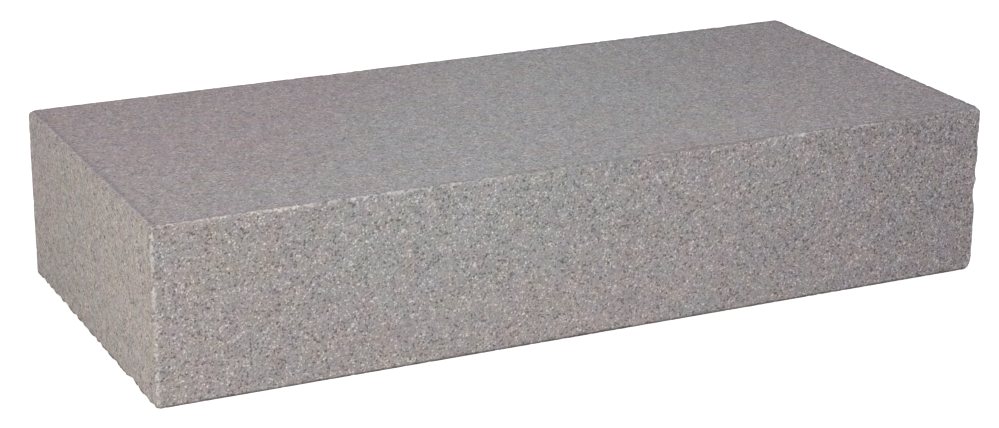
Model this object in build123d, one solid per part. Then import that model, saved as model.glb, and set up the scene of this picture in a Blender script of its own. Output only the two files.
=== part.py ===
"""A granite block step: one solid stone that makes one whole step of an outdoor stair.

The stone lies on its bed, the underside. The tread is on top, the riser is the long front
face, and the back face is built in. Every face is sawn flat and every arris is eased. Then
handling has spalled the arrises, most of all along the bed, and has knocked off the corners.

Frame: X along the stone, Y from the riser to the back, Z up. The origin is at the middle
of the bed. Lengths are in millimetres.
"""

from build123d import *
import os

# The stone
LENGTH = 750.0
TREAD_DEPTH = 340.0
RISE = 148.0

# Arrises, eased by rubbing after the saw
UPRIGHT_ARRIS_RADIUS = 2.0
TREAD_ARRIS_RADIUS = 1.6
BED_ARRIS_RADIUS = 0.8

# Spalls: the length of a hollow along its arris, and how deep it bites into the square corner
SPALL_LENGTH = 24.0
SPALL_BITE = 2.0

# Corner knocks: the length that is lost along an edge of the square corner
KNOCK = 8.0

# The outward directions of the six faces
LEFT, RIGHT = Vector(-1, 0, 0), Vector(1, 0, 0)
FRONT, BACK = Vector(0, -1, 0), Vector(0, 1, 0)
BED, TREAD = Vector(0, 0, -1), Vector(0, 0, 1)

# Each spalled arris: the two faces that meet in it, the ends that it runs from and to, and its spalls.
# Each spall: its place along the arris, its length, its bite, and its lean, which is 1 where it lies
# mostly in the first face, -1 where it lies mostly in the second, and 0 where it is shared evenly.
ARRIS_SPALL_SHARES = [
    (LEFT, BED, FRONT, BACK, [
        (0.025, 0.65, 0.72, 0.1),
        (0.078, 0.75, 0.72, -0.3),
        (0.145, 0.60, 0.85, 0.2),
        (0.190, 1.10, 1.22, 0.2),
        (0.315, 0.70, 0.58, 0.4),
        (0.385, 0.50, 0.50, -0.2),
        (0.440, 0.50, 0.72, 0.1),
        (0.482, 0.55, 0.72, 0.3),
        (0.548, 0.70, 0.50, -0.2),
        (0.590, 0.65, 0.62, 0.2),
        (0.645, 0.60, 0.66, 0.3),
        (0.730, 0.90, 0.85, 0.1),
        (0.792, 0.75, 0.74, 0.4),
        (0.845, 0.55, 0.66, -0.1),
        (0.890, 0.50, 0.56, 0.2),
        (0.930, 0.65, 0.80, -0.1),
    ]),
    (RIGHT, BED, FRONT, BACK, [
        (0.090, 0.90, 0.80, 0.3),
        (0.220, 0.60, 0.55, -0.2),
        (0.300, 1.20, 1.15, 0.1),
        (0.470, 0.80, 0.70, 0.4),
        (0.590, 1.10, 0.95, -0.3),
        (0.700, 0.60, 0.60, 0.0),
        (0.845, 1.35, 1.25, 0.3),
    ]),
    (BACK, BED, LEFT, RIGHT, [
        (0.060, 1.10, 1.00, 0.2),
        (0.140, 0.70, 0.60, -0.3),
        (0.265, 1.30, 1.15, 0.3),
        (0.375, 0.80, 0.75, 0.0),
        (0.500, 1.40, 1.30, 0.4),
        (0.545, 0.80, 0.70, -0.1),
        (0.690, 1.00, 0.85, 0.1),
        (0.800, 1.25, 1.10, 0.3),
        (0.930, 0.90, 0.90, -0.2),
    ]),
    (FRONT, TREAD, LEFT, RIGHT, [
        (0.082, 0.90, 0.63, 0.4),
        (0.100, 0.55, 0.54, -0.2),
        (0.255, 1.10, 0.68, 0.5),
        (0.285, 0.70, 0.57, 0.1),
        (0.560, 0.80, 0.54, 0.3),
        (0.880, 0.65, 0.57, 0.2),
    ]),
    (LEFT, TREAD, FRONT, BACK, [
        (0.160, 0.50, 0.63, 0.3),
        (0.370, 0.75, 0.78, -0.1),
        (0.610, 0.60, 0.69, 0.4),
        (0.790, 0.80, 0.82, 0.2),
        (0.900, 0.45, 0.63, 0.0),
    ]),
    (BACK, TREAD, LEFT, RIGHT, [
        (0.210, 0.80, 0.60, 0.5),
        (0.520, 0.65, 0.57, 0.3),
        (0.760, 0.90, 0.63, 0.4),
    ]),
    (RIGHT, FRONT, BED, TREAD, [
        (0.120, 0.60, 0.60, 0.3),
        (0.475, 1.15, 1.35, 0.3),
        (0.620, 0.90, 1.00, 0.1),
        (0.810, 0.95, 0.85, 0.3),
    ]),
    (LEFT, BACK, BED, TREAD, [
        (0.140, 0.75, 0.80, -0.1),
        (0.450, 0.50, 0.60, 0.3),
        (0.680, 0.50, 0.60, 0.1),
        (0.880, 2.40, 0.82, 0.1),
    ]),
    (LEFT, FRONT, BED, TREAD, [
        (0.280, 0.60, 0.63, 0.2),
        (0.520, 0.45, 0.58, -0.3),
        (0.760, 0.50, 0.60, 0.4),
    ]),
    (RIGHT, BACK, BED, TREAD, [
        (0.200, 1.00, 1.10, 0.0),
        (0.560, 0.75, 0.80, 0.3),
    ]),
]

# Each facet that a knock left: the three faces of its corner, and the knock along X, Y and Z.
# A corner with several facets is worn round.
CORNER_KNOCK_SHARES = [
    (LEFT, BACK, TREAD, 0.78, 0.75, 0.80),
    (LEFT, BACK, TREAD, 1.15, 0.95, 0.30),
    (LEFT, BACK, TREAD, 0.58, 0.58, 1.75),
    (RIGHT, FRONT, BED, 0.62, 0.80, 1.40),
    (RIGHT, FRONT, BED, 1.10, 0.75, 0.60),
    (RIGHT, FRONT, BED, 0.35, 0.55, 2.20),
    (LEFT, FRONT, BED, 0.50, 0.60, 0.45),
    (LEFT, FRONT, BED, 0.24, 0.32, 1.10),
    (RIGHT, FRONT, TREAD, 0.42, 1.50, 0.50),
    (LEFT, FRONT, TREAD, 0.40, 0.35, 0.50),
    (RIGHT, BACK, TREAD, 0.45, 0.60, 0.40),
    (LEFT, BACK, BED, 0.30, 0.25, 0.35),
    (RIGHT, BACK, BED, 0.80, 0.70, 0.90),
]


def square_corner(face_a, face_b, face_c):
    """The corner of the square stone where three faces would meet, had it not been eased."""
    out = face_a + face_b + face_c
    return Vector(out.X * LENGTH / 2, out.Y * TREAD_DEPTH / 2, (1 + out.Z) * RISE / 2)


def eased_block():
    """The sawn block with its arrises rubbed round."""
    block = Pos(0, 0, RISE / 2) * Box(LENGTH, TREAD_DEPTH, RISE)
    block = fillet(block.edges().filter_by(Axis.Z), UPRIGHT_ARRIS_RADIUS)
    block = fillet(block.faces().sort_by(Axis.Z)[-1].edges(), TREAD_ARRIS_RADIUS)
    return fillet(block.faces().sort_by(Axis.Z)[0].edges(), BED_ARRIS_RADIUS)


def spall(spot, outward, along, length, bite):
    """The ball whose inner side is one shell-shaped hollow, at a spot on a square arris."""
    radius = ((length / 2) ** 2 + bite**2) / (2 * bite)
    centre = spot + outward.normalized() * (radius - bite)
    return Plane(origin=centre, x_dir=outward, z_dir=along) * Sphere(radius)


def spalls():
    """The balls of every spalled arris."""
    balls = []
    for face_a, face_b, start_face, end_face, spall_shares in ARRIS_SPALL_SHARES:
        start = square_corner(face_a, face_b, start_face)
        along = square_corner(face_a, face_b, end_face) - start
        for place, length, bite, lean in spall_shares:
            outward = face_a * (1 + lean) + face_b * (1 - lean)
            balls.append(spall(start + along * place, outward, along, length * SPALL_LENGTH, bite * SPALL_BITE))
    return balls


def knocked(stone, face_a, face_b, face_c, share_x, share_y, share_z):
    """The stone with one corner struck off along a flat facet."""
    tip = square_corner(face_a, face_b, face_c)
    out = face_a + face_b + face_c
    across = Vector(out.X / share_x, out.Y / share_y, out.Z / share_z)
    facet = Plane(origin=tip - Vector(out.X * share_x * KNOCK, 0, 0), z_dir=-across)
    return split(stone, bisect_by=facet, keep=Keep.TOP)


def step_block():
    """The finished stone."""
    stone = eased_block()
    for ball in spalls():
        stone = stone - ball
    for facet in CORNER_KNOCK_SHARES:
        stone = knocked(stone, *facet)
    return stone.solids()[0]


stone = step_block()
stone.label = "step_block"
os.makedirs("parts", exist_ok=True)
export_step(stone, "parts/step_block.step")
print(stone.label, stone.bounding_box().size, len(stone.faces()), "faces")
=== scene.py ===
"""The looks of a granite block step: a sawn block of fine-grained stone, dressed rough, with worn arrises.

The stone is one piece. Its mesh is the block of the frame with the relief of its dressed faces and ragged
arrises worked in. Its material is a solid pattern of crystals, which runs on from face to face.
The mesh is in metres, with MM for a millimetre, and the material's pattern is in millimetres.
"""

import math

import bpy
import numpy as np
from mathutils import Matrix, Vector


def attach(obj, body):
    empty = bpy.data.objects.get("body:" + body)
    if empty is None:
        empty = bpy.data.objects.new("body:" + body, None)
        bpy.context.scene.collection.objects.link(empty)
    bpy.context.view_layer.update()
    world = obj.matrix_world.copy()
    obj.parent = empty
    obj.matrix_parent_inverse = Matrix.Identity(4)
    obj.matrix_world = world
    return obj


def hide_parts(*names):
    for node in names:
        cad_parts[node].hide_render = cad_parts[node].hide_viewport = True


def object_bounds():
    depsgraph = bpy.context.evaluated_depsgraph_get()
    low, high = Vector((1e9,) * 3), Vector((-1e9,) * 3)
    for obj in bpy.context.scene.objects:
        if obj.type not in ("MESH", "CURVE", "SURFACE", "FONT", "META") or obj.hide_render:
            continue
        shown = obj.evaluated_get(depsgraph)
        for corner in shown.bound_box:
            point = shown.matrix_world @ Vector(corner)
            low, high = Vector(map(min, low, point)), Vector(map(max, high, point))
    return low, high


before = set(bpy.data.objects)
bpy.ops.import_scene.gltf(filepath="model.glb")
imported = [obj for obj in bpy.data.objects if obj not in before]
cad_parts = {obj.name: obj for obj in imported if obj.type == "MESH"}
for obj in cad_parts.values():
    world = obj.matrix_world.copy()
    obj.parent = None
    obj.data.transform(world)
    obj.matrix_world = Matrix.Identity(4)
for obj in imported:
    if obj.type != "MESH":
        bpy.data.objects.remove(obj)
CAD_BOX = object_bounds()

MM = 0.001
LOWEST, HIGHEST = CAD_BOX
CENTRE = (LOWEST + HIGHEST) / 2
HALF_SIZE = (HIGHEST - LOWEST) / 2

# The sides of the block in millimetres
LEFT, FRONT, BED = LOWEST / MM
RIGHT, BACK, TOP = HIGHEST / MM

# The camera that took the photograph: its place, its angles in degrees and its lens in millimetres
CAMERA_PLACE = (-0.8945, -1.8849, 0.7594)
CAMERA_HEADING = 25.245
CAMERA_TILT = 18.7205
CAMERA_ROLL = 0.093
CAMERA_LENS = 90.754

# Relief: the grid it is worked on, the finished count of triangles, how close the points are that are
# joined, how far the skin is set back inside the solid, and each relief's width and depth
VOXEL = 1.5 * MM
FINISHED_TRIANGLES = 194000
MERGE_DISTANCE = 0.002 * MM
SET_BACK = 0.06 * MM
WAVE_WIDTH, WAVE_DEPTH = 26 * MM, 0.22 * MM
PICK_WIDTH, PICK_DEPTH = 6 * MM, 0.28 * MM
CHIP_WIDTH, CHIP_DEPTH = 5 * MM, 0.6 * MM

# The cloud values at which a hollow is full and at which it ends, in the faces and on the arrises
FACE_HOLLOWS = (0.3, 0.7)
CHIP_HOLLOWS = (0.26, 0.44)

# How far from an arris its chips reach, and the number of levels that they fade in
ARRIS_REACH = 4.0 * MM
ARRIS_LEVELS = 20


def srgb(red, green, blue):
    """A colour written as 0 to 255 on screen, as the linear colour that a shader takes."""
    shares = [value / 255 for value in (red, green, blue)]
    return [s / 12.92 if s <= 0.04045 else ((s + 0.055) / 1.055) ** 2.4 for s in shares] + [1.0]


# Modelling

def select_only(piece):
    """Selects one piece and nothing else, and makes it the active one."""
    bpy.ops.object.select_all(action="DESELECT")
    piece.select_set(True)
    bpy.context.view_layer.objects.active = piece


def apply_modifiers(piece):
    """Applies every modifier of a piece, from the first to the last."""
    select_only(piece)
    for name in [modifier.name for modifier in piece.modifiers]:
        bpy.ops.object.modifier_apply(modifier=name)


def joined_copy(node, name):
    """A copy of a CAD node's mesh, with its loose triangles joined into one closed skin."""
    piece = bpy.data.objects.new(name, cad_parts[node].data.copy())
    bpy.context.scene.collection.objects.link(piece)
    select_only(piece)
    bpy.ops.object.mode_set(mode="EDIT")
    bpy.ops.mesh.select_all(action="SELECT")
    bpy.ops.mesh.remove_doubles(threshold=MERGE_DISTANCE)
    bpy.ops.object.mode_set(mode="OBJECT")
    return piece


def corners_of(piece):
    """The places of a piece's vertices, as rows of x, y, z."""
    places = np.empty(len(piece.data.vertices) * 3, dtype=np.float32)
    piece.data.vertices.foreach_get("co", places)
    return places.reshape(-1, 3)


def weigh_arrises(piece):
    """A vertex group that is 1 on the arrises and fades to nothing in the faces."""
    places = corners_of(piece)
    below_faces = np.array(HALF_SIZE) - np.abs(places - np.array(CENTRE))
    from_arris = np.sort(below_faces, axis=1)[:, 1]
    levels = np.round(np.clip(1 - from_arris / ARRIS_REACH, 0, 1) * ARRIS_LEVELS).astype(int)
    group = piece.vertex_groups.new(name="arrises")
    for level in np.unique(levels[levels > 0]):
        group.add(np.flatnonzero(levels == level).tolist(), level / ARRIS_LEVELS, "REPLACE")


def relief(piece, name, width, depth, hollows, noise_depth=1, on_arrises=False):
    """Sinks the arrises, or else the faces, by up to depth, following clouds of that width.

    hollows gives the cloud values at which a hollow is full and at which it ends. The rest stays flat.
    """
    texture = bpy.data.textures.new(name, "CLOUDS")
    texture.noise_scale = width
    texture.noise_depth = noise_depth
    texture.use_color_ramp = True
    for element, position, level in zip(texture.color_ramp.elements, hollows, (0, 1)):
        element.position = position
        element.color = (level, level, level, 1)
    modifier = piece.modifiers.new(name, "DISPLACE")
    modifier.texture = texture
    modifier.texture_coords = "LOCAL"
    modifier.direction = "NORMAL"
    modifier.mid_level = 1
    modifier.strength = depth
    modifier.vertex_group = "arrises"
    modifier.invert_vertex_group = not on_arrises


def make_granite_block():
    """The stone itself, with the relief of its dressed faces and its ragged arrises."""
    block = joined_copy("step_block", "granite_block")

    # An even skin laid onto the solid, and set back a little so that it stays inside the solid's box
    remesh = block.modifiers.new("even_skin", "REMESH")
    remesh.mode = "VOXEL"
    remesh.voxel_size = VOXEL
    for name, method in (("out_to_solid", "PROJECT"), ("onto_solid", "NEAREST_SURFACEPOINT")):
        fit = block.modifiers.new(name, "SHRINKWRAP")
        fit.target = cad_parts["step_block"]
        fit.wrap_method = method
        fit.use_negative_direction = True
        fit.project_limit = VOXEL
    back = block.modifiers.new("set_back", "DISPLACE")
    back.mid_level = 0
    back.strength = -SET_BACK
    apply_modifiers(block)

    weigh_arrises(block)
    relief(block, "face_waves", WAVE_WIDTH, WAVE_DEPTH, FACE_HOLLOWS, noise_depth=2)
    relief(block, "pick_marks", PICK_WIDTH, PICK_DEPTH, FACE_HOLLOWS)
    relief(block, "arris_chips", CHIP_WIDTH, CHIP_DEPTH, CHIP_HOLLOWS, noise_depth=2, on_arrises=True)
    apply_modifiers(block)

    block.data.calc_loop_triangles()
    thin = block.modifiers.new("fewer_triangles", "DECIMATE")
    thin.ratio = FINISHED_TRIANGLES / len(block.data.loop_triangles)
    thin.use_collapse_triangulate = True
    apply_modifiers(block)
    block.vertex_groups.clear()
    select_only(block)
    bpy.ops.object.shade_smooth()
    return block


# Shader nodes

def add(tree, kind, inputs=None, **settings):
    """Adds a node with its settings. inputs gives each input's value, or the output that feeds it."""
    made = tree.nodes.new("ShaderNode" + kind)
    for setting, value in settings.items():
        setattr(made, setting, value)
    for name, value in (inputs or {}).items():
        if isinstance(value, bpy.types.NodeSocket):
            tree.links.new(value, made.inputs[name])
        else:
            made.inputs[name].default_value = value
    return made


def maths(tree, operation, first, second=0.0):
    """The output of a Math node."""
    return add(tree, "Math", {0: first, 1: second}, operation=operation).outputs[0]


def total(tree, first, *others):
    """Values added up."""
    for other in others:
        first = maths(tree, "ADD", first, other)
    return first


def product(tree, first, *others):
    """Values multiplied."""
    for other in others:
        first = maths(tree, "MULTIPLY", first, other)
    return first


def positive(tree, value):
    """The part of a value that is above zero."""
    return maths(tree, "MAXIMUM", value, 0.0)


def vectors(tree, operation, first, second):
    """The output of a Vector Math node."""
    return add(tree, "VectorMath", {0: first, 1: second}, operation=operation).outputs[0]


def scaled(tree, vector, scale):
    """A vector or a colour multiplied by a number."""
    return add(tree, "VectorMath", {0: vector, "Scale": scale}, operation="SCALE").outputs[0]


def eased(tree, value, low, high, to_low=0.0, to_high=1.0):
    """A value eased from to_low at low to to_high at high, and held beyond them."""
    inputs = {"Value": value, "From Min": low, "From Max": high, "To Min": to_low, "To Max": to_high}
    return add(tree, "MapRange", inputs, interpolation_type="SMOOTHSTEP").outputs["Result"]


def evenly(tree, value, low, high):
    """A value brought evenly from 0 at low to 1 at high."""
    return add(tree, "MapRange", {"Value": value, "From Min": low, "From Max": high}).outputs["Result"]


def blended(tree, amount, first, second, blend="MIX"):
    """Two colours put together by an amount."""
    inputs = {"Factor": amount, "A": first, "B": second}
    mix = add(tree, "Mix", data_type="RGBA", blend_type=blend)
    sockets = {socket.name: socket for socket in mix.inputs if socket.enabled}
    for name, value in inputs.items():
        if isinstance(value, bpy.types.NodeSocket):
            tree.links.new(value, sockets[name])
        else:
            sockets[name].default_value = value
    return next(socket for socket in mix.outputs if socket.enabled)


def tinted(tree, amount, colour, tint):
    """A colour multiplied by a tint, by an amount."""
    return blended(tree, amount, colour, tint, "MULTIPLY")


def ramp(tree, value, stops, interpolation):
    """A value turned into a colour. stops gives the positions, from 0 up, and the colours there."""
    made = add(tree, "ValToRGB", {"Fac": value})
    made.color_ramp.interpolation = interpolation
    # A new ramp has its first two stops already
    for stop in stops[2:]:
        made.color_ramp.elements.new(stop[0])
    for element, (position, colour) in zip(made.color_ramp.elements, stops):
        element.position = position
        element.color = colour
    return made.outputs["Color"]


def new_group(name, inputs, outputs):
    """An empty node group with named sockets. Returns the tree, its input node and its output node."""
    tree = bpy.data.node_groups.new(name, "ShaderNodeTree")
    for socket, kind in inputs:
        tree.interface.new_socket(name=socket, in_out="INPUT", socket_type="NodeSocket" + kind)
    for socket, kind in outputs:
        tree.interface.new_socket(name=socket, in_out="OUTPUT", socket_type="NodeSocket" + kind)
    return tree, tree.nodes.new("NodeGroupInput"), tree.nodes.new("NodeGroupOutput")


# Crystals: how ragged they are, the noise that bends their outlines, the middles of that noise and of
# their random numbers, and how far from its middle, as a share of its size, a fleck starts and is whole
RAGGEDNESS = 0.8
BEND_SCALE = 1.7
BEND_DETAIL = 1.0
BEND_MIDDLE = (0.5, 0.5, 0.5)
RANDOM_MIDDLE = 0.5
FLECK_EDGE = (0.75, 0.45)

# Clouds: the detail of their noise, which the waves of the relief share, and its values at -1 and at 1
CLOUD_DETAIL = 2.0
CLOUD_LIMITS = (0.3, 0.7)


def crystals_group():
    """Interlocked crystals of one size, each with random numbers of its own."""
    tree, given, made = new_group(
        "Crystals",
        [("Place", "Vector"), ("Size", "Float"), ("Ragged", "Float"), ("Shift", "Vector")],
        [("Random", "Float"), ("Second Random", "Float"), ("From Middle", "Float")],
    )
    shifted = vectors(tree, "ADD", given.outputs["Place"], given.outputs["Shift"])
    sized = vectors(tree, "DIVIDE", shifted, given.outputs["Size"])
    inputs = {"Vector": sized, "Scale": BEND_SCALE, "Detail": BEND_DETAIL}
    noise = add(tree, "TexNoise", inputs).outputs["Color"]
    bend = scaled(tree, vectors(tree, "SUBTRACT", noise, BEND_MIDDLE), given.outputs["Ragged"])
    cells = add(tree, "TexVoronoi", {"Vector": vectors(tree, "ADD", sized, bend), "Scale": 1.0}).outputs
    random = add(tree, "SeparateColor", {"Color": cells["Color"]}).outputs
    tree.links.new(random[0], made.inputs["Random"])
    tree.links.new(random[1], made.inputs["Second Random"])
    tree.links.new(cells["Distance"], made.inputs["From Middle"])
    return tree


def flecks_group(crystals):
    """Scattered crystals of one mineral: a share of those of a size, from 0 outside them to 1 inside."""
    tree, given, made = new_group(
        "Flecks",
        [("Place", "Vector"), ("Size", "Float"), ("Share", "Float"), ("Shift", "Vector")],
        [("Fleck", "Float")],
    )
    inputs = {name: given.outputs[name] for name in ("Place", "Size", "Shift")}
    cells = add(tree, "Group", {"Ragged": RAGGEDNESS, **inputs}, node_tree=crystals).outputs
    chosen = maths(tree, "LESS_THAN", cells["Random"], given.outputs["Share"])
    inside = eased(tree, cells["From Middle"], *FLECK_EDGE)
    tree.links.new(product(tree, chosen, inside), made.inputs["Fleck"])
    return tree


def clouds_group():
    """Soft clouds of one size, from -1 to 1."""
    tree, given, made = new_group(
        "Clouds", [("Place", "Vector"), ("Size", "Float"), ("Shift", "Vector")], [("Cloud", "Float")]
    )
    shifted = vectors(tree, "ADD", given.outputs["Place"], given.outputs["Shift"])
    sized = vectors(tree, "DIVIDE", shifted, given.outputs["Size"])
    noise = add(tree, "TexNoise", {"Vector": sized, "Scale": 1.0, "Detail": CLOUD_DETAIL}).outputs[0]
    tree.links.new(eased(tree, noise, *CLOUD_LIMITS, -1.0, 1.0), made.inputs["Cloud"])
    return tree


def arris_group():
    """How far inside the block a point is: from its nearest arris and side, and below its tread and face.

    The bed counts as the tread does, because the block is folded about its middle.
    """
    tree, given, made = new_group(
        "Arris Distance",
        [("Place", "Vector"), ("Centre", "Vector"), ("Half Size", "Vector")],
        [("From Arris", "Float"), ("From Side", "Float"), ("Below Tread", "Float"), ("Below Face", "Float")],
    )
    centred = vectors(tree, "SUBTRACT", given.outputs["Place"], given.outputs["Centre"])
    folded = add(tree, "VectorMath", {0: centred}, operation="ABSOLUTE").outputs[0]
    inside = vectors(tree, "SUBTRACT", given.outputs["Half Size"], folded)
    depth = add(tree, "SeparateXYZ", {0: inside}).outputs
    lesser = maths(tree, "MINIMUM", depth[0], depth[1])
    greater = maths(tree, "MAXIMUM", depth[0], depth[1])
    tree.links.new(lesser, made.inputs["From Side"])
    tree.links.new(depth[2], made.inputs["Below Tread"])
    tree.links.new(maths(tree, "MINIMUM", lesser, depth[2]), made.inputs["Below Face"])
    middle = maths(tree, "MAXIMUM", lesser, maths(tree, "MINIMUM", greater, depth[2]))
    tree.links.new(middle, made.inputs["From Arris"])
    return tree


# The granite. Sizes, places and distances are in millimetres. Where a run of places, heights or distances
# has two numbers, its effect is nothing at the first and full at the second.

# The body minerals, as they look on screen, each with the share of the crystals that it starts at
MINERALS = [
    (0.00, srgb(145, 140, 144)),
    (0.26, srgb(157, 150, 154)),
    (0.55, srgb(151, 146, 150)),
    (0.74, srgb(162, 156, 160)),
    (0.90, srgb(171, 165, 169)),
]
MICA = srgb(84, 81, 84)
WHITE_FELDSPAR = srgb(222, 214, 217)
# Dark soil colour, which also stands for the painted contact shadow along the bed
SOIL_AND_CONTACT_SHADE = srgb(52, 47, 43)

# The crushed crystals, in the same way
CRUSHED = [
    (0.00, srgb(118, 114, 117)),
    (0.14, srgb(160, 156, 160)),
    (0.40, srgb(192, 188, 191)),
    (0.72, srgb(208, 203, 206)),
]

# Sizes of crystals and clouds
BODY_CRYSTAL = 1.5
MICA_FLAKE = 1.5
MICA_BOOK = 2.2
CRUSHED_CRYSTAL = 2.1
WHITE_FLECK = 1.35
SMALL_CLUSTER = 6.0
BLOTCH = 9.0
COLOUR_CLOUD = 19.0
WIDE_CLOUD = 110.0
WEAR_PATCH = 34.0
FINE_WANDER = 3.0
WIDE_WANDER = 13.0

# How far each pattern is shifted in the stone, so that no two of them fall together
SHIFTS = {
    "body": (0, 0, 0),
    "white": (11, 83, 29),
    "mica": (31, 7, 53),
    "mica books": (71, 17, 3),
    "clusters": (19, 0, 0),
    "blotches": (250, 0, 90),
    "vein": (0, 0, 700),
    "hue": (0, 400, 0),
    "wide hue": (0, 300, 0),
    "warmth": (900, 0, 0),
    "fine wander": (5, 5, 5),
    "wide wander": (8, 8, 8),
    "wear": (77, 0, 41),
    "crushed": (13, 57, 91),
    "teeth": (43, 61, 17),
}

# How much of the stone is mica flakes and larger mica books, how much is white feldspar, how much more
# there is of flakes and feldspar towards the right end, and how far the small clusters change that
MICA_SHARE = 0.11
MICA_BOOK_SHARE = 0.022
MICA_GAIN = 0.07
WHITE_SHARE = 0.11
WHITE_GAIN = 0.05
CLUSTER_CHANGE = 0.11

# How much of the flecks' colour shows, what is left of that on the rubbed tread, and how much more of it
# shows on the left end and towards the right end
WHITE_STRENGTH = 0.7
MICA_STRENGTH = 0.8
TREAD_STRENGTH = 0.92
LEFT_STRENGTH = 0.15
RIGHT_FLECK_STRENGTH = 0.1

# How far below the tread the stone is rubbed, how far in the left end's own look reaches, and the places
# along the step that the right end's painted shade and its added flecks come in over
RUBBED_DEPTH = (2.0, 1.0)
LEFT_END_REACH = (2.0, 1.0)
RIGHT_SHADE_AND_GRAIN_RUN = (110.0, 360.0)

# How far the fine and the wide clouds make every line wander
FINE_WANDER_REACH = 0.5
WIDE_WANDER_REACH = 0.7

# The blotches' change of brightness, and how much more of it the left end has
BLOTCH_CHANGE = 0.02
LEFT_BLOTCH = 0.08

# How much the wide clouds add to the change between pink and green
WIDE_HUE = 0.5

# Tints, as what each multiplies the colour by at its strongest
PINK = (1.035, 0.985, 1.0, 1.0)
GREEN = (0.97, 1.015, 1.01, 1.0)
OCHRE = (1.018, 1.0, 0.945, 1.0)
LILAC = (1.0, 0.988, 1.03, 1.0)
PALE_VEIN = (1.08, 1.08, 1.08, 1.0)
GREEN_VEIN = (0.935, 1.01, 1.0, 1.0)
ROSE = (1.03, 0.97, 0.995, 1.0)
# Painted shade: the right end darkened, where the lamps' light falls off along the step
RIGHT_END_SHADE = (0.91, 0.9, 0.92, 1.0)
TREAD_TONE = (0.985, 0.98, 0.98, 1.0)
# Painted shade beside the arrises: on the tread's edges, in the left end's margin and in the band beside the
# light line
TREAD_EDGE_SHADE = (0.66, 0.66, 0.67, 1.0)
LEFT_MARGIN_SHADE = (0.93, 0.93, 0.94, 1.0)
BAND_SHADE = (0.95, 0.945, 0.95, 1.0)

# The pale vein that crosses the tread on a slant: its slopes in plan and down the riser, half its width,
# its middle and its wander
VEIN_SLOPE = 0.65
VEIN_FALL = 0.5
VEIN_HALF_WIDTH = 225.0
VEIN_MIDDLE = -15.0
VEIN_WANDER = 45.0

# The vein's green: half its width, how far its middle is from the vein's, and the heights it comes in over
GREEN_HALF_WIDTH = 300.0
GREEN_MIDDLE = 40.0
GREEN_HEIGHTS = (BED, 105.0)

# The rose zone behind the vein: the distances from the vein's middle and the heights that it comes in
# over, the places from front to back that it grows over, and how strong it is at the first of them
ROSE_RUN = (-90.0, -230.0)
ROSE_HEIGHTS = (TOP - 10.0, TOP - 0.5)
ROSE_DEPTHS = (FRONT, BACK - 110.0)
ROSE_IN_FRONT = 0.25

# Soft patches of tint: the middle and the reach of each, and what it multiplies the colour by
PATCHES = [
    ((-330.0, -230.0, 145.0), 160.0, (0.925, 0.96, 0.96, 1.0)),
    ((-170.0, -230.0, 140.0), 150.0, (0.96, 0.965, 0.97, 1.0)),
    ((-60.0, -230.0, 70.0), 150.0, (0.975, 0.99, 0.995, 1.0)),
    ((-320.0, -185.0, 114.0), 55.0, (1.0, 0.985, 0.94, 1.0)),
    ((-54.0, -200.0, 26.0), 130.0, (1.01, 0.99, 0.965, 1.0)),
    ((70.0, -210.0, 40.0), 130.0, (1.05, 1.05, 1.045, 1.0)),
    ((350.0, -210.0, 90.0), 120.0, (0.965, 0.965, 0.965, 1.0)),
    ((290.0, -110.0, 190.0), 140.0, (0.96, 0.96, 0.96, 1.0)),
    ((-420.0, -120.0, 40.0), 190.0, (1.05, 1.05, 1.05, 1.0)),
    ((-420.0, 120.0, 110.0), 130.0, (0.98, 0.98, 0.985, 1.0)),
]

# The painted shade along the tread's edges, a dark line: how far in and how deep it reaches, and its
# strength at the left
EDGE_REACH = (6.0, 3.5)
EDGE_DEPTH = (1.6, 0.6)
EDGE_AT_LEFT = 0.35

# A thinner line of painted shade on the tread beside the left end: how far in it starts and ends, and
# its strength
LEFT_EDGE_START = (3.2, 4.2)
LEFT_EDGE_END = (8.5, 6.0)
LEFT_EDGE_AMOUNT = 0.5

# Painted shade in the darker margin of the left end, and in the darker band on the other faces beside the
# light line: how far in each one reaches, or starts and ends
MARGIN_REACH = (5.5, 3.5)
BAND_START = (3.6, 4.8)
BAND_END = (13.0, 8.0)

# How worn the front arris is, by its share of the length from the left end
WORN_STRETCHES = [
    (0.00, 0.2),
    (0.012, 0.7),
    (0.12, 0.78),
    (0.36, 0.72),
    (0.40, 0.1),
    (0.50, 0.2),
    (0.70, 0.08),
    (0.76, 0.75),
    (0.86, 0.65),
    (0.90, 0.3),
    (1.00, 0.4),
]

# How worn all the other arrises are, and the places that the front arris's wear comes in over
OTHERS_WORN = 0.25
FRONT_WEAR_RUN = (FRONT + 20.0, FRONT + 4.0)

# The crushed crystals along a worn arris: how far in they reach, and how uneven that is
CRUSHED_REACH = (2.3, 1.5)
CRUSHED_RAGGED = 2.2

# The light line beside the left end: how far in its middle is, how far off that it reaches and how far in
# it starts, how far it follows the wander and the crystals, and how worn it is on the riser and on the
# tread, with the heights between
LINE_MIDDLE = 2.2
LINE_HALF_WIDTH = (1.7, 1.0)
LINE_START = (0.5, 1.0)
LINE_WANDER = 0.4
LINE_RAGGED = 0.5
LINE_WORN = (0.69, 0.52)
LINE_HEIGHTS = (TOP - 8.0, TOP - 1.0)

# Patches of stronger wear: the cloud values that they come in over, and the share of it outside them
WEAR_CLOUD = (-0.6, 0.2)
WEAR_OUTSIDE = 0.62

# Fresh stone in the spalls: the depths below the face that it comes in over, and its amount
FRESH_DEPTH = (0.9, 1.5)
FRESH_AMOUNT = 0.3

# The painted contact shadow and the trace of soil above the bed: how high they reach, how far they follow
# the wander, and how strong they are
SOIL_AND_SHADE_HEIGHT = (3.2, 0.6)
SOIL_AND_SHADE_WANDER = 0.5
SOIL_AND_SHADE_AMOUNT = 0.9

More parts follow.
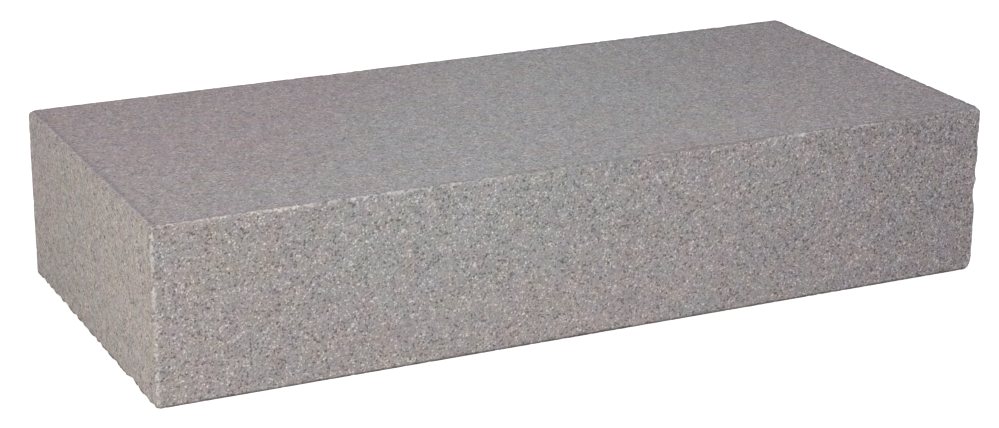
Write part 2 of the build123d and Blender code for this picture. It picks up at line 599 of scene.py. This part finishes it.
# The dressed faces' fine relief. The tooth of each crystal has its width and its height on the dressed
# faces and on the rubbed tread, its middle, and what is added to a crystal's random number to make how
# proud it stands. The soft waves between have their size and their height.
TOOTH_WIDTH = 1.9
TOOTH_HEIGHT = 1.0
TREAD_TOOTH = 0.75
TOOTH_MIDDLE = 0.6
TOOTH_LEAST = 0.5
WAVE_SIZE = 3.6
WAVE_HEIGHT = 1.7

# The least and the greatest roughness of a crystal
ROUGHNESS = (0.6, 0.85)


class Stone:
    """What every part of the granite's look is drawn from.

    mm is a point's place, with x, y and z as its parts. body is the body crystals, and depth is how far
    inside the block the point is. wander is a small uneven distance that keeps lines from running straight.
    The masks rubbed, left_end and right_shade_and_grain are 1 on the tread and bed, on the left end, and
    towards the right end, which is painted darker in shade and has more flecks.
    """

    def __init__(self, tree):
        self.tree = tree
        self.crystals = crystals_group()
        self.flecks = flecks_group(self.crystals)
        self.clouds = clouds_group()
        place = add(tree, "TexCoord").outputs["Object"]
        self.mm = add(tree, "Mapping", {"Vector": place, "Scale": (1 / MM,) * 3}).outputs[0]
        self.x, self.y, self.z = add(tree, "SeparateXYZ", {0: self.mm}).outputs
        self.body = self.grains(BODY_CRYSTAL, "body")
        inputs = {"Place": self.mm, "Centre": CENTRE / MM, "Half Size": HALF_SIZE / MM}
        self.depth = add(tree, "Group", inputs, node_tree=arris_group()).outputs
        self.from_left = total(tree, self.x, -LEFT)
        self.rubbed = eased(tree, self.depth["Below Tread"], *RUBBED_DEPTH)
        self.left_end = eased(tree, self.from_left, *LEFT_END_REACH)
        # Towards the right end: painted shade there, and more flecks
        self.right_shade_and_grain = eased(tree, self.x, *RIGHT_SHADE_AND_GRAIN_RUN)
        fine = product(tree, self.cloud(FINE_WANDER, "fine wander"), FINE_WANDER_REACH)
        wide = product(tree, self.cloud(WIDE_WANDER, "wide wander"), WIDE_WANDER_REACH)
        self.wander = total(tree, fine, wide)

    def cloud(self, size, pattern):
        """Soft clouds of a size, from -1 to 1."""
        inputs = {"Place": self.mm, "Size": size, "Shift": SHIFTS[pattern]}
        return add(self.tree, "Group", inputs, node_tree=self.clouds).outputs["Cloud"]

    def grains(self, size, pattern):
        """Crystals of a size that fill the stone."""
        inputs = {"Place": self.mm, "Size": size, "Ragged": RAGGEDNESS, "Shift": SHIFTS[pattern]}
        return add(self.tree, "Group", inputs, node_tree=self.crystals).outputs

    def fleck(self, size, share, pattern):
        """Scattered crystals: a share of those of a size."""
        inputs = {"Place": self.mm, "Size": size, "Share": share, "Shift": SHIFTS[pattern]}
        return add(self.tree, "Group", inputs, node_tree=self.flecks).outputs["Fleck"]


def minerals(stone):
    """The colour of the crystals: body minerals, white feldspar and mica, a little darker on the tread."""
    tree = stone.tree
    cluster = product(tree, stone.cloud(SMALL_CLUSTER, "clusters"), CLUSTER_CHANGE)
    white_share = total(tree, WHITE_SHARE, product(tree, stone.right_shade_and_grain, WHITE_GAIN))
    white = stone.fleck(WHITE_FLECK, maths(tree, "SUBTRACT", white_share, cluster), "white")
    mica_share = total(tree, MICA_SHARE, product(tree, stone.right_shade_and_grain, MICA_GAIN), cluster)
    flakes = stone.fleck(MICA_FLAKE, mica_share, "mica")
    mica = maths(tree, "MAXIMUM", flakes, stone.fleck(MICA_BOOK, MICA_BOOK_SHARE, "mica books"))
    clearness = total(
        tree,
        eased(tree, stone.rubbed, 0.0, 1.0, 1.0, TREAD_STRENGTH),
        product(tree, stone.left_end, LEFT_STRENGTH),
        product(tree, stone.right_shade_and_grain, RIGHT_FLECK_STRENGTH),
    )
    colour = ramp(tree, stone.body["Random"], MINERALS, "CONSTANT")
    colour = blended(tree, product(tree, white, clearness, WHITE_STRENGTH), colour, WHITE_FELDSPAR)
    colour = blended(tree, product(tree, mica, clearness, MICA_STRENGTH), colour, MICA)
    return tinted(tree, stone.rubbed, colour, TREAD_TONE)


def blotches(stone, colour):
    """Small blotches of lighter and darker stone, stronger on the left end."""
    tree = stone.tree
    change = total(tree, product(tree, stone.left_end, LEFT_BLOTCH), BLOTCH_CHANGE)
    blotch = product(tree, stone.cloud(BLOTCH, "blotches"), change)
    return scaled(tree, colour, total(tree, blotch, 1.0))


def vein(stone, colour):
    """The pale vein, its green, and the rose zone behind it."""
    tree = stone.tree
    slant = total(
        tree,
        stone.x,
        product(tree, stone.y, -VEIN_SLOPE),
        product(tree, total(tree, stone.z, -TOP), VEIN_FALL),
        -VEIN_MIDDLE,
        product(tree, stone.cloud(WIDE_CLOUD, "vein"), VEIN_WANDER),
    )
    pale = eased(tree, maths(tree, "ABSOLUTE", slant), VEIN_HALF_WIDTH, 0.0)
    colour = tinted(tree, pale, colour, PALE_VEIN)
    from_green = maths(tree, "ABSOLUTE", total(tree, slant, -GREEN_MIDDLE))
    green = eased(tree, from_green, GREEN_HALF_WIDTH, 0.0)
    green = product(tree, green, eased(tree, stone.z, *GREEN_HEIGHTS))
    colour = tinted(tree, green, colour, GREEN_VEIN)
    rose = product(
        tree,
        eased(tree, slant, *ROSE_RUN),
        eased(tree, stone.z, *ROSE_HEIGHTS),
        eased(tree, stone.y, *ROSE_DEPTHS, ROSE_IN_FRONT, 1.0),
    )
    return tinted(tree, rose, colour, ROSE)


def hues(stone, colour):
    """Soft changes of hue, painted shade that darkens the right end, and the wide patches of tint."""
    tree = stone.tree
    wide = product(tree, stone.cloud(WIDE_CLOUD, "wide hue"), WIDE_HUE)
    hue = total(tree, stone.cloud(COLOUR_CLOUD, "hue"), wide)
    warmth = stone.cloud(COLOUR_CLOUD, "warmth")
    for value, above, below in ((hue, PINK, GREEN), (warmth, OCHRE, LILAC)):
        colour = tinted(tree, positive(tree, value), colour, above)
        colour = tinted(tree, positive(tree, product(tree, value, -1.0)), colour, below)
    # Painted shade: darker towards the right end, where the lamps' light falls off
    colour = tinted(tree, stone.right_shade_and_grain, colour, RIGHT_END_SHADE)
    for middle, reach, tint in PATCHES:
        away = add(tree, "VectorMath", {0: stone.mm, 1: middle}, operation="DISTANCE").outputs["Value"]
        colour = tinted(tree, eased(tree, away, reach, 0.0), colour, tint)
    return colour


def painted_edge_shade(stone, colour):
    """Painted shade: dark lines along the tread's edges, and a darker margin and band at the left end's
    arrises.
    """
    tree = stone.tree
    from_side = total(tree, stone.depth["From Side"], stone.wander)
    from_arris = total(tree, stone.depth["From Arris"], stone.wander)
    from_left = total(tree, stone.from_left, stone.wander)
    edge = product(
        tree,
        eased(tree, from_side, *EDGE_REACH),
        eased(tree, stone.depth["Below Tread"], *EDGE_DEPTH),
        eased(tree, stone.x, LEFT, RIGHT, EDGE_AT_LEFT, 1.0),
    )
    left_edge_shade = product(
        tree,
        eased(tree, from_left, *LEFT_EDGE_START),
        eased(tree, from_left, *LEFT_EDGE_END),
        stone.rubbed,
        LEFT_EDGE_AMOUNT,
    )
    # Painted shade along the tread's edges and beside the left end
    colour = tinted(tree, maths(tree, "MAXIMUM", edge, left_edge_shade), colour, TREAD_EDGE_SHADE)
    # Painted shade in the left end's margin and in the band beside the light line
    margin = product(tree, stone.left_end, eased(tree, from_arris, *MARGIN_REACH))
    colour = tinted(tree, margin, colour, LEFT_MARGIN_SHADE)
    band = product(tree, eased(tree, from_left, *BAND_START), eased(tree, from_left, *BAND_END))
    return tinted(tree, band, colour, BAND_SHADE)


def wear(stone):
    """How worn the nearest arris is: the front arris by its stretches, and the others all alike."""
    tree = stone.tree
    stretches = [(position, (share, share, share, 1)) for position, share in WORN_STRETCHES]
    worn = ramp(tree, evenly(tree, stone.x, LEFT, RIGHT), stretches, "LINEAR")
    in_front = eased(tree, stone.y, *FRONT_WEAR_RUN)
    others = product(tree, maths(tree, "SUBTRACT", 1.0, in_front), OTHERS_WORN)
    return maths(tree, "MAXIMUM", product(tree, in_front, worn), others)


def crushed_crystals(stone, colour):
    """Crushed pale crystals on worn arrises and beside the left end, and fresh stone in the spalls."""
    tree = stone.tree
    crushed = stone.grains(CRUSHED_CRYSTAL, "crushed")
    ragged = product(tree, total(tree, crushed["Second Random"], -RANDOM_MIDDLE), CRUSHED_RAGGED)
    from_arris = total(tree, stone.depth["From Arris"], stone.wander, ragged)
    along_arris = product(tree, eased(tree, from_arris, *CRUSHED_REACH), wear(stone))

    bent = product(tree, stone.wander, LINE_WANDER)
    off_line = maths(tree, "ABSOLUTE", total(tree, stone.from_left, -LINE_MIDDLE, bent))
    line = product(
        tree,
        eased(tree, total(tree, off_line, product(tree, ragged, LINE_RAGGED)), *LINE_HALF_WIDTH),
        eased(tree, stone.from_left, *LINE_START),
        eased(tree, stone.z, *LINE_HEIGHTS, *LINE_WORN),
    )
    patches = eased(tree, stone.cloud(WEAR_PATCH, "wear"), *WEAR_CLOUD, WEAR_OUTSIDE, 1.0)
    bruise = product(tree, maths(tree, "MAXIMUM", along_arris, line), patches)
    fresh = eased(tree, stone.depth["Below Face"], *FRESH_DEPTH, 0.0, FRESH_AMOUNT)
    pale = ramp(tree, crushed["Random"], CRUSHED, "CONSTANT")
    return blended(tree, maths(tree, "MAXIMUM", bruise, fresh), colour, pale)


def soil_and_contact_shade(stone, colour):
    """A painted contact shadow and a trace of soil, darkening the stone just above the bed."""
    tree = stone.tree
    height = total(tree, stone.z, product(tree, stone.wander, SOIL_AND_SHADE_WANDER))
    # Painted contact shadow along the bed, in the colour of soil
    return blended(tree, eased(tree, height, *SOIL_AND_SHADE_HEIGHT, 0.0, SOIL_AND_SHADE_AMOUNT), colour, SOIL_AND_CONTACT_SHADE)


def fine_relief(stone):
    """The normal of the stone: a tooth for each crystal, less of it on the rubbed tread, and soft waves."""
    tree = stone.tree
    teeth = stone.grains(TOOTH_WIDTH, "teeth")
    domed = maths(tree, "SUBTRACT", 1.0, teeth["From Middle"])
    proud = product(tree, domed, total(tree, teeth["Random"], TOOTH_LEAST))
    tooth_height = eased(tree, stone.rubbed, 0.0, 1.0, TOOTH_HEIGHT, TREAD_TOOTH)
    tooth = product(tree, total(tree, proud, -TOOTH_MIDDLE), tooth_height)
    inputs = {"Vector": stone.mm, "Scale": 1 / WAVE_SIZE, "Detail": CLOUD_DETAIL}
    waves = add(tree, "TexNoise", inputs).outputs[0]
    height = total(tree, tooth, product(tree, waves, WAVE_HEIGHT))
    return add(tree, "Bump", {"Strength": 1.0, "Distance": MM, "Height": height}).outputs[0]


def granite():
    """Fine-grained pinkish grey granite, with crushed crystals along its worn arrises."""
    material = bpy.data.materials.new("granite")
    material.use_nodes = True
    tree = material.node_tree
    tree.nodes.clear()
    stone = Stone(tree)
    colour = minerals(stone)
    for layer in (blotches, vein, hues, painted_edge_shade, crushed_crystals, soil_and_contact_shade):
        colour = layer(stone, colour)
    roughness = eased(tree, stone.body["Second Random"], 0.0, 1.0, *ROUGHNESS)
    inputs = {"Base Color": colour, "Roughness": roughness, "Normal": fine_relief(stone)}
    surface = add(tree, "BsdfPrincipled", inputs).outputs[0]
    add(tree, "OutputMaterial", {"Surface": surface})
    return material


# Around the stone, in metres: the light of the sky, the point that the lamps face, each lamp's name,
# place, width, height, watts and colour, and the floor's width, its colour and how much whiter it is
# where it is seen
SKY_STRENGTH = 0.4
LAMP_AIM = (0, 0, 0.07)
LAMPS = [
    ("left_lamp", (-1.6, -0.83, 0.43), 1.1, 1.1, 18.6, (1.0, 0.94, 0.72)),
    ("front_lamp", (-0.14, -0.92, 1.34), 1.0, 1.0, 13.0, (1.0, 1.0, 1.0)),
    ("back_lamp", (2.0, 1.7, 0.07), 1.4, 0.12, 34.0, (1.0, 1.0, 1.0)),
]
FLOOR_WIDTH = 60
FLOOR_GREY = (0.8, 0.8, 0.8, 1)
FLOOR_LIFT = 0.68
WHITE = (1, 1, 1, 1)


def ray_is_seen(tree):
    """1 for what is seen, also in a mirror or through glass, and 0 for light that reaches the stone."""
    rays = add(tree, "LightPath").outputs
    mirrored = maths(tree, "MAXIMUM", rays["Is Glossy Ray"], rays["Is Transmission Ray"])
    return maths(tree, "MAXIMUM", rays["Is Camera Ray"], mirrored)


def pale_ground():
    """A pale floor that looks white but for the stone's shadow."""
    bpy.ops.object.select_all(action="DESELECT")
    bpy.ops.mesh.primitive_plane_add(size=FLOOR_WIDTH, location=(0, 0, LOWEST.z))
    floor = bpy.context.object
    floor.name = "floor"
    material = bpy.data.materials.new("pale_ground")
    material.use_nodes = True
    tree = material.node_tree
    tree.nodes.clear()
    plain = add(tree, "BsdfDiffuse", {"Color": FLOOR_GREY}).outputs[0]
    lift = add(tree, "Emission", {"Color": WHITE, "Strength": FLOOR_LIFT}).outputs[0]
    lifted = add(tree, "AddShader", {0: plain, 1: lift}).outputs[0]
    shown = add(tree, "MixShader", {0: ray_is_seen(tree), 1: plain, 2: lifted}).outputs[0]
    add(tree, "OutputMaterial", {"Surface": shown})
    floor.data.materials.append(material)


def soft_sky():
    """Even light from all round, white where it is seen."""
    world = bpy.data.worlds.new("studio")
    bpy.context.scene.world = world
    world.use_nodes = True
    tree = world.node_tree
    tree.nodes.clear()
    light = add(tree, "Background", {"Color": WHITE, "Strength": SKY_STRENGTH}).outputs[0]
    white = add(tree, "Background", {"Color": WHITE, "Strength": 1.0}).outputs[0]
    mixed = add(tree, "MixShader", {0: ray_is_seen(tree), 1: light, 2: white}).outputs[0]
    add(tree, "OutputWorld", {"Surface": mixed})


def lamps():
    """Large soft lamps at the left and in front, and a low one behind for the sides they don't reach."""
    for name, place, width, height, watts, colour in LAMPS:
        lamp = bpy.data.lights.new(name, "AREA")
        lamp.shape = "RECTANGLE"
        lamp.size = width
        lamp.size_y = height
        lamp.energy = watts
        lamp.color = colour
        stand = bpy.data.objects.new(name, lamp)
        bpy.context.scene.collection.objects.link(stand)
        stand.location = place
        stand.rotation_euler = (Vector(LAMP_AIM) - Vector(place)).to_track_quat("-Z", "Y").to_euler()


def camera():
    """The photograph's camera."""
    made = bpy.data.cameras.new("camera")
    made.lens = CAMERA_LENS
    stand = bpy.data.objects.new("camera", made)
    bpy.context.scene.collection.objects.link(stand)
    heading = Matrix.Rotation(-math.radians(CAMERA_HEADING), 4, "Z")
    tilt = Matrix.Rotation(math.radians(90 - CAMERA_TILT), 4, "X")
    roll = Matrix.Rotation(math.radians(CAMERA_ROLL), 4, "Z")
    stand.matrix_world = Matrix.Translation(CAMERA_PLACE) @ heading @ tilt @ roll
    bpy.context.scene.camera = stand


block = make_granite_block()
block.data.materials.clear()
block.data.materials.append(granite())
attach(block, "root")
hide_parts("step_block")

pale_ground()
soft_sky()
lamps()
camera()
bpy.context.scene.view_settings.view_transform = "Standard"
